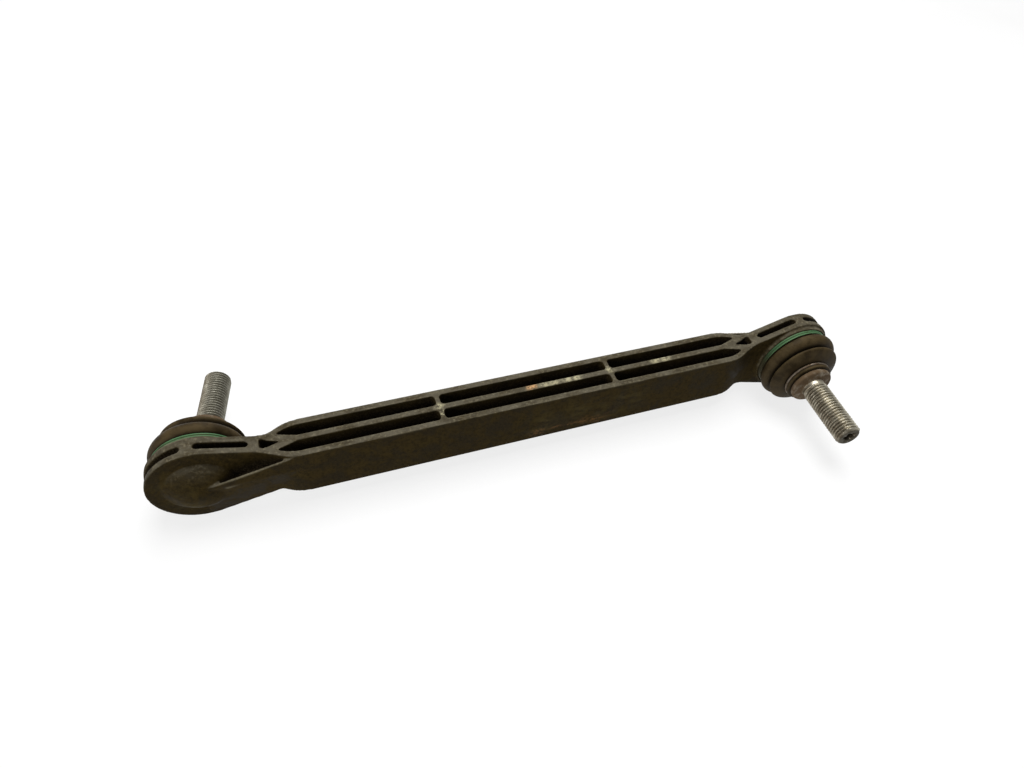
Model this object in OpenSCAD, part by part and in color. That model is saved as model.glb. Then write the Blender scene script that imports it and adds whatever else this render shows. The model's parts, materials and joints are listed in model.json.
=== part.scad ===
// Stabilizer link with a moulded arm and a ball joint at each end.
// Millimetres. The link lies along X with its top towards +Z, and the origin is midway
// between the two heads. The left stud points to +Y and the right stud to -Y.
// Each end is drawn in a frame of its own: the head's axis is local Y, the stud leaves
// towards local +Y, and local +X runs from the head towards the middle of the link.

/* [Arm] */
// Distance between the axes of the two heads
centre_distance = 290; // [240:1:360]
// Width of the arm, outside to outside
arm_width = 20.2; // [17:0.2:25]
// Height of the arm
arm_height = 25.4; // [20:0.2:30]
// Thickness of the arm's outer walls
side_wall = 3; // [2:0.1:3.6]
// Thickness of the rib along the middle of the arm
middle_rib = 3; // [2:0.1:4]
// Distance of each cross rib from the middle of the link
cross_rib_x = 41.5; // [20:0.5:60]
// Thickness of the cross ribs
cross_rib = 2.2; // [1.4:0.1:4]
// Thickness of the web at mid height, between the upper and lower pockets
web = 3; // [1.6:0.1:5]
// Corner radius of the long pockets
pocket_r = 1.6; // [0.5:0.1:2]

/* [Neck] */
// Distance from the head's axis to where the arm starts to narrow
shoulder = 43; // [40:0.5:55]
// Length over which the arm narrows to the thickness of the head
narrowing = 20; // [14:0.5:22]
// Distance from the head's axis to where the top and bottom edges start to rise
flare = 30; // [26:0.5:38]
// Distance from the head's axis to the tip of the triangular pocket
triangle_tip = 34.6; // [32:0.2:37]
// Distance from the head's axis to the base of the triangular pocket
triangle_base = 26.3; // [25:0.1:29]
// Width of the triangular pocket at its base
triangle_w = 5.2; // [3.6:0.1:5.6]
// Thickness of the slanting ribs beside the triangular pocket
slanting_rib = 3.5; // [2.4:0.1:4]

/* [Head] */
// Radius of the head's rim
head_r = 21; // [20.4:0.1:24]
// Thickness of the head's rim
head_t = 8.8; // [7.6:0.1:10]
// Width of the slots around the rim
slot_w = 2.8; // [1.6:0.1:3]
// Thickness of the rim's flange on the domed side of the slots
domed_flange = 3; // [2:0.1:4]
// Distance from the head's axis to the near end of the straight slots
slot_start = 2; // [1:0.1:4]
// Distance from the head's axis to the far end of the straight slots
slot_end = 22.1; // [18:0.1:23]
// Distance from the head's axis to the start of the slots around the end of the head
end_slot_start = 2.8; // [1.5:0.1:5]
// Wall of the housing around the ball seat
housing_wall = 3.5; // [2.4:0.1:3.8]
// Wall of the dome over the ball seat
dome_wall = 1.9; // [1.4:0.1:4]
// Radius of the dome at its foot
dome_r = 14.8; // [12.5:0.1:17]
// Height, above the head's axis, of the ridge where it leaves the dome
ridge_z = 3.5; // [1:0.1:6]
// Thickness of the blade that runs from the dome to the arm
blade = 1.2; // [0.8:0.1:2]
// Depth of the scoop behind the blade
scoop_depth = 6; // [4:0.1:8]
// Height of the housing above the rim, on the stud's side
housing_rise = 3.2; // [2.8:0.1:3.4]
// Height of the wall around the closing ring
ring_wall_h = 1.9; // [1:0.1:2.4]
// Thickness of the wall around the closing ring
ring_wall = 0.9; // [0.6:0.1:1.2]

/* [Ball joint] */
// Diameter of the ball
ball_d = 20; // [18:0.1:20.6]
// Distance from the head's middle plane to the ball's centre, towards the stud
ball_offset = 3; // [2:0.1:3.4]
// Wall of the ball seat
seat_wall = 1.6; // [1.2:0.1:2]
// Width of the slits that let the seat's mouth open
seat_slit = 1; // [0.6:0.1:2]
// Number of slits in the seat
seat_slits = 6; // [4:1:8]

/* [Closing ring] */
// Outer radius of the ring
ring_r = 18.9; // [18.6:0.1:19.1]
// Height of the ring
ring_h = 4.1; // [3.8:0.1:4.4]
// Thickness of the ring's skirt
ring_skirt = 1.2; // [0.8:0.1:1.3]
// Thickness of the ring's lip over the boot's bead
ring_lip = 1.3; // [0.8:0.1:1.4]
// Width of the lip, from the skirt inwards
ring_lip_w = 1; // [0.8:0.1:1.1]
// Width and depth of the groove around the ring
ring_groove = 0.4; // [0.2:0.1:0.6]

/* [Boot] */
// Radius of the first fold, beside the closing ring
fold_1_r = 20; // [18.5:0.1:20.6]
// Length of the first fold
fold_1_h = 7; // [6:0.1:7.6]
// Radius of the waist between the folds
waist_r = 15.6; // [15:0.1:16.4]
// Radius of the second fold's crest
fold_2_r = 17.8; // [17:0.1:19]
// Distance from the waist to the second fold's crest
crest_a = 2.7; // [2:0.1:3.2]
// Radius of the lip at the stud
lip_r = 11.6; // [11:0.1:12.2]
// Length of the lip
lip_h = 1.5; // [1:0.1:2]
// Depth of the groove for the neck ring
neck_groove = 1.2; // [0.8:0.1:1.6]
// Thickness of the rubber
boot_wall = 1.4; // [0.9:0.1:1.8]
// Wire diameter of the neck ring
neck_wire = 1.2; // [0.8:0.1:1.6]

/* [Stud] */
// Diameter of the shank over the thread
shank_d = 12; // [10:0.1:12.4]
// Distance from the ball's centre to the tip
stud_reach = 57; // [45:0.5:75]
// Diameter of the neck beside the ball
neck_d = 10; // [9:0.1:10.6]
// Diameter of the seat for the boot's lip
lip_seat_d = 13; // [12.6:0.1:14]
// Diameter of the collar
collar_d = 20.6; // [18:0.1:23]
// Distance from the ball's centre to the collar's face
collar_face = 24.1; // [23:0.1:28]
// Thickness of the collar
collar_t = 2.5; // [1.8:0.1:3.5]
// Chamfer around the collar's face
collar_chamfer = 0.7; // [0.2:0.1:1.2]
// Chamfer at the tip of the shank
tip_chamfer = 1.2; // [0.5:0.1:1.8]
// Size across the lobes of the six-lobed socket in the tip
socket_d = 6.7; // [5:0.1:7.5]
// Radius of the socket's lobes
lobe_r = 0.9; // [0.6:0.1:1.2]
// Depth of the socket
socket_depth = 5; // [3:0.1:8]
// Angle by which the left stud leans towards the middle of the link
left_lean = 10; // [0:0.5:15]
// Angle by which the right stud leans towards the middle of the link
right_lean = 3.5; // [0:0.5:15]
// Angle by which the left stud hangs down
left_dip = 4; // [0:0.5:8]
// Angle by which the right stud hangs down
right_dip = 0; // [0:0.5:8]

/* [Clearances] */
// Gap between the ball and its seat
ball_gap = 0.05; // [0.02:0.01:0.1]
// Gap between the seat and the housing
seat_gap = 0.05; // [0.02:0.01:0.1]
// Gap between the rubber boot and what it sits on
boot_gap = 0.15; // [0.1:0.05:0.2]

/* [Hidden] */
$fn = 96;
// Overshoot of cutting solids
cut = 1;
// How far an arc stands over a line that it runs into
overlap = 0.01;
LEFT = -1;
RIGHT = 1;

// Arm and neck
end_x = centre_distance / 2;
arm_half = arm_width / 2;
head_half = head_t / 2;
shoulder_x = end_x - shoulder;
neck_x = shoulder_x + narrowing;
turn_drop = arm_half - head_half;
turn_steepness = 1.8;
turn_angle = turn_steepness * atan(turn_drop / narrowing);
turn_r = (narrowing * sin(turn_angle) - turn_drop * cos(turn_angle)) / (2 * (1 - cos(turn_angle)));
slope_start = shoulder_x + turn_r * sin(turn_angle);
slope_end = neck_x - turn_r * sin(turn_angle);

// Triangular pocket, and the wedge that leaves the slanting ribs around it
triangle_angle = atan(triangle_w / 2 / (triangle_tip - triangle_base));
wedge_tip = triangle_tip + slanting_rib / sin(triangle_angle);

// Line from the flare to where it touches the head's rim
flare_reach = norm([flare, arm_height / 2]);
flare_angle = asin(head_r / flare_reach) - atan(arm_height / 2 / flare);
flare_run = sqrt(pow(flare_reach, 2) - pow(head_r, 2));
flare_point = [flare, arm_height / 2];
rim_point = flare_point + flare_run * [-cos(flare_angle), sin(flare_angle)];

// Ball, seat and housing
ball_r = ball_d / 2;
socket_r = ball_r + ball_gap;
seat_r = socket_r + seat_wall;
cavity_r = seat_r + seat_gap;
housing_r = cavity_r + housing_wall;
ring_top = head_half + ring_h;
housing_top = head_half + housing_rise;
mouth_h = housing_top - ball_offset;
dome_top = cavity_r + dome_wall - ball_offset;
dome_rise = dome_top - head_half;
dome_sphere_r = (pow(dome_r, 2) + pow(dome_rise, 2)) / (2 * dome_rise);
ridge_angle = atan((arm_height / 2 - ridge_z) / shoulder);
fairing_foot = head_r - cut;
fairing_slant = atan((arm_half - head_half) / (fairing_foot + ridge_z));
scoop_r = (arm_half - head_half - blade) / 2;

// Closing ring and boot
ring_inner_r = ring_r - ring_skirt;
ring_bore_r = ring_inner_r - ring_lip_w;
boot_inner_r = housing_r + boot_gap;
boot_throat_r = ring_bore_r - boot_gap;
boot_start = ring_top + boot_gap;
waist_a = boot_start + fold_1_h;
lip_bore_r = lip_seat_d / 2 + boot_gap;
lip_end = ball_offset + collar_face - collar_t - 2 * boot_gap;
groove_end = lip_end - lip_h;
groove_w = neck_wire + 2 * boot_gap;
groove_start = groove_end - groove_w;
groove_r = lip_r - neck_groove;
neck_ring_r = groove_r + boot_gap + neck_wire / 2;
boot_sides = 40;
fold_steps = 10;
crest_sharpness = 1.8;
lip_round = 0.4;

// Stud
shank_r = shank_d / 2;
ball_flat = sqrt(pow(ball_r, 2) - pow(neck_d / 2, 2));
lip_seat_start = groove_start - neck_wire - ball_offset;
neck_end = (ball_flat + lip_seat_start) / 2;
UPRIGHT = [0, 0];
left_tilt = [left_dip, left_lean];
right_tilt = [right_dip, right_lean];

// Frames

// Puts a shape that is drawn in an end's own frame at that end of the link.
module at_end(side) {
    rotate([0, 0, side == LEFT ? 0 : 180])
        translate([-end_x, 0, 0])
            children();
}

// Stands a shape that is turned about Z on the head's axis.
module on_head_axis() {
    rotate([-90, 0, 0])
        children();
}

// As on_head_axis, but measured from the ball's centre and tilted with the stud by [dip, lean].
module on_stud_axis(tilt) {
    translate([0, ball_offset, 0])
        rotate([0, 0, -tilt[1]])
            rotate([-tilt[0], 0, 0])
                on_head_axis()
                    children();
}

// Repeats a shape above and below the middle plane.
module above_and_below() {
    for (flip = [0, 1])
        mirror([0, 0, flip])
            children();
}

// Repeats a shape in the four quarters of the plan.
module in_quarters() {
    for (flip_x = [0, 1], flip_y = [0, 1])
        mirror([flip_x, 0])
            mirror([0, flip_y])
                children();
}

// Arm, in plan and from the side

// One quarter of the plan, whose side swings from the arm to the neck: an arc, a straight, an arc.
// The arcs stand over by overlap, so that they cross the lines they meet.
module narrowing_plan(inset = 0) {
    half = arm_half - inset;
    foot = head_half - inset;
    middle = [shoulder_x + narrowing / 2, (half + foot) / 2];
    slope_foot = middle.x + turn_drop / 2 / tan(turn_angle);
    square([shoulder_x, half]);
    square([neck_x, foot]);
    intersection() {
        translate([shoulder_x, 0])
            square([narrowing, half]);
        polygon([
            [shoulder_x, 0],
            [shoulder_x, middle.y + tan(turn_angle) * narrowing / 2],
            [slope_foot, foot],
            [slope_foot, 0],
        ]);
        union() {
            translate([shoulder_x, half + overlap - turn_r])
                circle(turn_r);
            translate([slope_start, 0])
                square([narrowing, half]);
        }
    }
    difference() {
        translate([slope_end, 0])
            square([neck_x - slope_end, half]);
        translate([neck_x, foot - overlap + turn_r])
            circle(turn_r);
    }
}

module arm_plan() {
    in_quarters() {
        narrowing_plan();
        translate([neck_x, 0])
            square([end_x + head_r - neck_x, head_half]);
    }
}

// Side view of one head with the straight edges that run from its rim to the arm.
module head_side() {
    circle(head_r);
    polygon([
        [0, 0],
        rim_point,
        flare_point,
        [flare_point.x, -flare_point.y],
        [rim_point.x, -rim_point.y],
    ]);
}

module arm_side() {
    square([2 * end_x, arm_height], center = true);
    for (side = [LEFT, RIGHT])
        mirror([side == LEFT ? 0 : 1, 0])
            translate([-end_x, 0])
                head_side();
}

module arm_block() {
    intersection() {
        translate([0, 0, -head_r])
            linear_extrude(2 * head_r)
                arm_plan();
        rotate([90, 0, 0])
            linear_extrude(arm_width, center = true)
                arm_side();
    }
}

// Pockets

// What a corner of radius r leaves of the square around it.
module corner_filler(r) {
    difference() {
        translate([-cut, -cut])
            square(r + cut);
        translate([r, r])
            circle(r);
    }
}

// Plan of the long pocket between a cross rib and the neck, in one quarter.
module outer_pocket() {
    start = cross_rib_x + cross_rib / 2;
    difference() {
        narrowing_plan(side_wall);
        translate([-cut, -cut])
            square([start + cut, arm_half + cut]);
        square([end_x, middle_rib / 2]);
        polygon([
            [end_x - wedge_tip, 0],
            [end_x, wedge_tip * tan(triangle_angle)],
            [end_x, 0],
        ]);
        translate([start, middle_rib / 2])
            corner_filler(pocket_r);
        translate([start, arm_half - side_wall])
            mirror([0, 1])
                corner_filler(pocket_r);
    }
}

// Plan of half of the long pocket between the two cross ribs.
module middle_pocket() {
    end = cross_rib_x - cross_rib / 2;
    difference() {
        translate([-end, middle_rib / 2])
            square([2 * end, arm_half - side_wall - middle_rib / 2]);
        for (side = [0, 1])
            mirror([side, 0]) {
                translate([-end, middle_rib / 2])
                    corner_filler(pocket_r);
                translate([-end, arm_half - side_wall])
                    mirror([0, 1])
                        corner_filler(pocket_r);
            }
    }
}

module triangle_pocket() {
    translate([end_x, 0])
        polygon([
            [-triangle_tip, 0],
            [-triangle_base, triangle_w / 2],
            [-triangle_base, -triangle_w / 2],
        ]);
}

module arm_pockets() {
    above_and_below()
        translate([0, 0, web / 2])
            linear_extrude(head_r) {
                in_quarters()
                    outer_pocket();
                for (flip = [0, 1])
                    mirror([0, flip])
                        middle_pocket();
                for (flip = [0, 1])
                    mirror([flip, 0])
                        triangle_pocket();
            }
}

// Head

// A slot with round ends, from x = start to x = end.
module slot_plan(start, end) {
    r = slot_w / 2;
    translate([start + r, -r])
        square([end - start - slot_w, slot_w]);
    for (x = [start + r, end - r])
        translate([x, 0])
            circle(r);
}

// Slots in the rim, which end on the housing and on the web.
module rim_slots() {
    middle = -head_half + domed_flange + slot_w / 2;
    difference() {
        above_and_below()
            translate([0, middle, web / 2])
                linear_extrude(head_r) {
                    slot_plan(slot_start, slot_end);
                    slot_plan(-head_r - slot_w, -end_slot_start);
                }
        on_head_axis()
            cylinder(h = head_t, r = housing_r, center = true);
    }
}

module dome() {
    on_head_axis()
        intersection() {
            translate([0, 0, dome_sphere_r - dome_top])
                sphere(dome_sphere_r);
            translate([0, 0, -dome_top - cut])
                cylinder(h = dome_top + cut, r = dome_r);
        }
}

// Solid between the dome and the arm's side, whose face slants back towards the rim.
module fairing_block() {
    intersection() {
        translate([0, -arm_half, -head_r])
            cube([shoulder, arm_half, 2 * head_r]);
        rotate([90, 0, 0])
            linear_extrude(arm_half) {
                head_side();
                translate([0, -arm_height / 2])
                    square([shoulder, arm_height]);
            }
        translate([0, -arm_half, ridge_z])
            rotate([fairing_slant, 0, 0])
                translate([-cut, 0, -2 * head_r])
                    cube([shoulder + 2 * cut, 2 * arm_half, 4 * head_r]);
    }
}

// What lies above the ridge, and the round-bottomed scoop that leaves a blade in front of it.
module scoop() {
    translate([0, 0, ridge_z])
        rotate([0, -ridge_angle, 0])
            translate([-shoulder, 0, 0]) {
                translate([0, -arm_half - cut, 0])
                    cube([3 * shoulder, arm_half + 2 * cut, 2 * head_r]);
                translate([0, blade + scoop_r - arm_half, scoop_r - scoop_depth]) {
                    rotate([0, 90, 0])
                        cylinder(h = 3 * shoulder, r = scoop_r);
                    translate([0, overlap - scoop_r, 0])
                        cube([3 * shoulder, 2 * (scoop_r - overlap), scoop_depth]);
                }
            }
}

module fairing() {
    difference() {
        fairing_block();
        scoop();
    }
}

// Housing around the seat, on the stud's side of the rim.
module housing() {
    on_head_axis()
        cylinder(h = housing_top, r = housing_r);
}

// Low wall that the closing ring is set into.
module ring_seat() {
    inner = ring_r + seat_gap;
    outer = inner + ring_wall;
    edge = ring_wall / 2;
    top = head_half + ring_wall_h;
    on_head_axis()
        rotate_extrude()
            polygon([
                [inner, head_half - cut],
                [outer, head_half - cut],
                [outer, top - edge],
                [outer - edge, top],
                [inner, top],
            ]);
}

module ball_cavity() {
    on_stud_axis(UPRIGHT)
        sphere(cavity_r);
}

// Pieces

module link_body() {
    color("#2b2a26")
        difference() {
            union() {
                arm_block();
                for (side = [LEFT, RIGHT])
                    at_end(side) {
                        housing();
                        ring_seat();
                        dome();
                        fairing();
                    }
            }
            arm_pockets();
            for (side = [LEFT, RIGHT])
                at_end(side) {
                    rim_slots();
                    ball_cavity();
                }
        }
}

module ball_seat() {
    color("#e8e4d8")
        on_stud_axis(UPRIGHT)
            difference() {
                rotate_extrude()
                    difference() {
                        circle(seat_r);
                        circle(socket_r);
                        translate([-2 * seat_r, -seat_r])
                            square([2 * seat_r, 2 * seat_r]);
                        translate([-cut, mouth_h])
                            square([seat_r + 2 * cut, seat_r]);
                    }
                for (turn = [0:seat_slits - 1])
                    rotate([0, 0, (turn + 0.5) * 360 / seat_slits])
                        translate([ball_r / 2, -seat_slit / 2, mouth_h / 2])
                            cube([ball_r, seat_slit, seat_r]);
            }
}

module closing_ring() {
    groove_a = ring_top - (ring_h - ring_wall_h) / 2;
    color("#3f7a52")
        on_head_axis()
            rotate_extrude()
                difference() {
                    translate([ring_bore_r, head_half])
                        square([ring_r - ring_bore_r, ring_h]);
                    translate([ring_bore_r - cut, head_half - cut])
                        square([ring_lip_w + cut, ring_h - ring_lip + cut]);
                    translate([ring_r - ring_groove, groove_a - ring_groove / 2])
                        square([ring_groove + cut, ring_groove]);
                }
}

// Boot, as rings that turn step by step from the head's axis to the stud's axis

// Points of a fold from [a, r] = from to [a, r] = to, standing out by rise in between.
function fold(from, to, rise) = [
    for (step = [0:fold_steps])
        let (turn = 180 * step / fold_steps, share = (1 - cos(turn)) / 2)
            from + share * (to - from) + [0, rise * sin(turn)]
];

// Points after [a, r] = from of a fold that rises to a sharp crest at top and ends at to.
function crested_fold(from, top, to) =
    let (corner = ((2 + 2 * crest_sharpness) * top - from - to) / (2 * crest_sharpness)) [
        for (step = [1:fold_steps])
            let (
                share = step / fold_steps,
                start = pow(1 - share, 2),
                middle = 2 * crest_sharpness * share * (1 - share),
                end = pow(share, 2)
            )
                (start * from + middle * corner + end * to) / (start + middle + end)
    ];

boot_bead_low = head_half + boot_gap;
boot_bead_high = ring_top - ring_lip - boot_gap;
fold_1_rise = fold_1_r - (boot_throat_r + waist_r) / 2;
boot_throat = [boot_start, boot_throat_r];
boot_waist = [waist_a, waist_r];
boot_crest = [waist_a + crest_a, fold_2_r];
boot_outside = concat(
    [
        [boot_bead_low, ring_inner_r - boot_gap],
        [boot_bead_high, ring_inner_r - boot_gap],
        [boot_bead_high, boot_throat_r],
    ],
    fold(boot_throat, boot_waist, fold_1_rise),
    crested_fold(boot_waist, boot_crest, [groove_start, groove_r]),
    [
        [groove_end, groove_r],
        [groove_end, lip_r - lip_round],
        [groove_end + lip_round, lip_r],
        [lip_end - lip_round, lip_r],
        [lip_end, lip_r - lip_round],
    ]
);
boot_inside = concat(
    [
        [boot_bead_low, boot_inner_r],
        [boot_bead_high, boot_inner_r],
    ],
    fold(boot_throat - [0, boot_wall], boot_waist - [0, boot_wall], fold_1_rise - boot_wall),
    crested_fold(boot_waist - [0, boot_wall], boot_crest - [0, 2 * boot_wall],
                 [groove_start, lip_bore_r]),
    [[lip_end, lip_bore_r]]
);
boot_profile = concat(boot_outside, [for (i = [len(boot_inside) - 1:-1:0]) boot_inside[i]]);

// Share of the stud's tilt that the rubber has taken up at a distance a along the head's axis.
function lean_share(a) =
    let (x = min(1, max(0, (a - boot_start) / (groove_start - boot_start))))
        x * x * (3 - 2 * x);

// A point of the boot at [a, r], turned by angle around the axis that tilts with the rubber.
function boot_point(a, r, angle, tilt) =
    let (
        dip = tilt[0] * lean_share(a),
        lean = tilt[1] * lean_share(a),
        along = a - ball_offset,
        inward = r * cos(angle),
        up = r * sin(angle),
        out = along * cos(dip) + up * sin(dip)
    )
        [
            inward * cos(lean) + out * sin(lean),
            ball_offset + out * cos(lean) - inward * sin(lean),
            up * cos(dip) - along * sin(dip),
        ];

module boot(tilt) {
    rings = len(boot_profile);
    points = [
        for (point = boot_profile, side = [0:boot_sides - 1])
            boot_point(point[0], point[1], 360 * side / boot_sides, tilt)
    ];
    faces = [
        for (ring = [0:rings - 1], side = [0:boot_sides - 1])
            let (
                ring_2 = (ring + 1) % rings,
                side_2 = (side + 1) % boot_sides,
                a = ring * boot_sides + side,
                b = ring * boot_sides + side_2,
                c = ring_2 * boot_sides + side_2,
                d = ring_2 * boot_sides + side
            )
                each [[a, b, c], [a, c, d]]
    ];
    color("#2a231c")
        polyhedron(points, faces);
}

module neck_ring(tilt) {
    color("#3a3028")
        on_stud_axis(tilt)
            translate([0, 0, groove_start + groove_w / 2 - ball_offset])
                rotate_extrude()
                    translate([neck_ring_r, 0])
                        circle(d = neck_wire);
}

module ball(tilt) {
    color("#b9bcc0")
        on_stud_axis(tilt)
            difference() {
                sphere(ball_r);
                translate([0, 0, ball_flat])
                    cylinder(h = ball_r, r = ball_r);
            }
}

module six_lobes() {
    circle(socket_d / 2 - lobe_r);
    for (turn = [0:5])
        rotate(60 * turn)
            translate([socket_d / 2 - lobe_r, 0])
                circle(lobe_r);
}

module stud(tilt) {
    collar_back = collar_face - collar_t;
    color("#8d8f8c")
        on_stud_axis(tilt)
            difference() {
                rotate_extrude()
                    polygon([
                        [0, ball_flat],
                        [neck_d / 2, ball_flat],
                        [neck_d / 2, neck_end],
                        [lip_seat_d / 2, lip_seat_start],
                        [lip_seat_d / 2, collar_back],
                        [collar_d / 2, collar_back],
                        [collar_d / 2, collar_face - collar_chamfer],
                        [collar_d / 2 - collar_chamfer, collar_face],
                        [shank_r, collar_face],
                        [shank_r, stud_reach - tip_chamfer],
                        [shank_r - tip_chamfer, stud_reach],
                        [0, stud_reach],
                    ]);
                translate([0, 0, stud_reach - socket_depth])
                    linear_extrude(socket_depth + cut)
                        six_lobes();
            }
}

module ball_seat_left() { at_end(LEFT) ball_seat(); }
module ball_seat_right() { at_end(RIGHT) ball_seat(); }
module closing_ring_left() { at_end(LEFT) closing_ring(); }
module closing_ring_right() { at_end(RIGHT) closing_ring(); }
module boot_left() { at_end(LEFT) boot(left_tilt); }
module boot_right() { at_end(RIGHT) boot(right_tilt); }
module neck_ring_left() { at_end(LEFT) neck_ring(left_tilt); }
module neck_ring_right() { at_end(RIGHT) neck_ring(right_tilt); }
module ball_left() { at_end(LEFT) ball(left_tilt); }
module ball_right() { at_end(RIGHT) ball(right_tilt); }
module stud_left() { at_end(LEFT) stud(left_tilt); }
module stud_right() { at_end(RIGHT) stud(right_tilt); }

link_body();
ball_seat_left();
ball_seat_right();
closing_ring_left();
closing_ring_right();
boot_left();
boot_right();
neck_ring_left();
neck_ring_right();
ball_left();
ball_right();
stud_left();
stud_right();
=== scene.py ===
"""Looks of the stabilizer link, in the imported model's frame and in metres."""

import json
import math

import bmesh
import bpy
from mathutils import Matrix, Vector


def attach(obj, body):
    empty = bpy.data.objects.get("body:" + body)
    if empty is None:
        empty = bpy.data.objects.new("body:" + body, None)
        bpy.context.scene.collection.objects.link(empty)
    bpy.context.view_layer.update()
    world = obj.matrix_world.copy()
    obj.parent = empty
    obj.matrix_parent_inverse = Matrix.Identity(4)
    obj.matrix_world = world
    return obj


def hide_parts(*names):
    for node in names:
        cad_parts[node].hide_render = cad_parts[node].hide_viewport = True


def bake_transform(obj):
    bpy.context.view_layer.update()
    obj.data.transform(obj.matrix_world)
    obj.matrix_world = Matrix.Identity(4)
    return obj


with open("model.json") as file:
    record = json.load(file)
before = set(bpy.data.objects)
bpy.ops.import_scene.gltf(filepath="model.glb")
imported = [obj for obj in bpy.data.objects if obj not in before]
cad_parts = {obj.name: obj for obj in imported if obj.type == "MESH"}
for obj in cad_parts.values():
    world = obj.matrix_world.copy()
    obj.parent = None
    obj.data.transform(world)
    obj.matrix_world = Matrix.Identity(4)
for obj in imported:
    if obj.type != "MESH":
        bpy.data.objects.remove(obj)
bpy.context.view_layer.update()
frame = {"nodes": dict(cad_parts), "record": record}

MM = 0.001
TURN = 2 * math.pi
UP = Vector((0, 0, 1))
JOINTS = {joint["name"]: joint for joint in frame["record"]["behaviour"]["joints"]}

# Sizes, in millimetres. Along a head and its boot, distances count from the head's middle plane
# towards the stud. Along a stud, they count from the ball's centre towards the tip.
BALL_OFFSET = 3.0
HEAD_HALF = 4.4
ARM_HALF_WIDTH = 10.1
ARM_TOP = 12.7

RING_TOP = 8.5
RING_R = 18.9
RING_INNER_R = 17.7
RING_BORE_R = 16.7
RING_LIP = 1.3
RING_WALL_TOP = 6.3
RING_GROOVE = 0.4
RING_EDGE = 0.25

BOOT_GAP = 0.15
BOOT_WALL = 1.4
BOOT_INNER_R = 15.35
BOOT_THROAT_R = 16.55
BOOT_START = 8.65
FOLD_1_R = 20.0
WAIST_A = 15.65
WAIST_R = 15.6
CREST_A = 18.35
CREST_R = 17.8
NECK_GROOVE_START = 21.3
NECK_GROOVE_END = 22.8
NECK_GROOVE_R = 10.4
LIP_END = 24.3
LIP_R = 11.6
LIP_ROUND = 0.4
LIP_BORE_R = 6.65
BEAD_LOW = 4.55
BEAD_HIGH = 7.05

BALL_FLAT = 8.66
NECK_R = 5.0
NECK_END = 12.88
LIP_SEAT_START = 17.1
LIP_SEAT_R = 6.5
COLLAR_BACK = 21.6
COLLAR_FACE = 24.1
COLLAR_R = 10.3
COLLAR_BACK_EDGE = 0.5
COLLAR_BACK_EASE = 0.15
COLLAR_FRONT_EDGE = 0.8
COLLAR_FRONT_EASE_H = 0.3
COLLAR_FRONT_EASE_R = 0.25
SHANK_R = 6.0
PLAIN_R = 5.6
SHANK_FILLET = 1.0
SHANK_FILLET_EASE = 0.3
STUD_REACH = 57.0
TIP_CHAMFER = 1.2
TIP_EASE = 0.15
THREAD_PITCH = 1.5
THREAD_DEPTH = 0.92
THREAD_START = 26.2
THREAD_RUN_IN = 1.5
SOCKET_R = 2.45
SOCKET_DEPTH = 5.0
SOCKET_EDGE = 0.3
SOCKET_POINT = 0.8
LOBE_R = 0.9
LOBES = 6

# Shares: of the lip's rounding at its middle point, of the thread's pitch that is flat crest
# and sloping flanks, and of the socket's outline at its point
LIP_ROUND_MIDDLE = 1 / 3
THREAD_CREST = 0.14
THREAD_FLANKS = 0.74
SOCKET_POINT_SHARE = 0.2

# How strongly the second fold's curve is drawn to its crest
CREST_SHARPNESS = 1.8

# How finely the pieces are divided, and the angles in degrees past which edges stay sharp
RING_SIDES = 160
ROUND_STEPS = 5
BOOT_SIDES = 128
FOLD_STEPS = 28
STUD_SIDES = 96
THREAD_STEPS = 14
SHARP_ANGLE = 35.0
STUD_SHARP_ANGLE = 50.0

# Softening of the moulded body's edges: the distance in metres that welds points, the grid
# in millimetres, the rounds and strength of smoothing, and the share of triangles kept
MOULDING_WELD = 1e-6
MOULDING_VOXEL = 0.42
MOULDING_SMOOTH_ROUNDS = 5
MOULDING_SMOOTH_FACTOR = 0.5
MOULDING_KEEP = 0.26

# Camera, fitted to the photograph's frame of 1024 x 768: places in metres, roll in degrees,
# lens and sensor in millimetres
CAMERA_AT = Vector((-90.51, -195.60, 251.23)) * MM
CAMERA_AIM = Vector((-1.74, 14.95, 0.0)) * MM
CAMERA_ROLL = 5.469
CAMERA_LENS = 24.61
CAMERA_SENSOR = 36.0
CAMERA_CLIP = 0.01

# Disk lights, in metres and watts, and the floor and sky around them
LIGHTS = {
    "key": {"at": (0.15, 0.25, 0.95), "aim": (0.0, 0.0, 0.0), "size": 0.8, "power": 14.0},
    "side": {"at": (-0.90, -0.35, 0.28), "aim": (-0.1, 0.0, 0.0), "size": 0.3, "power": 4.5},
    "back": {"at": (0.3, 0.9, 0.5), "aim": (0.0, 0.0, 0.0), "size": 0.7, "power": 3.0},
}
FLOOR_Z = -21.0 * MM
FLOOR_HALF = 3.0
FLOOR_GLOW = 0.78
SKY_STRENGTH = 0.26
WHITE = (1.0, 1.0, 1.0, 1.0)

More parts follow.
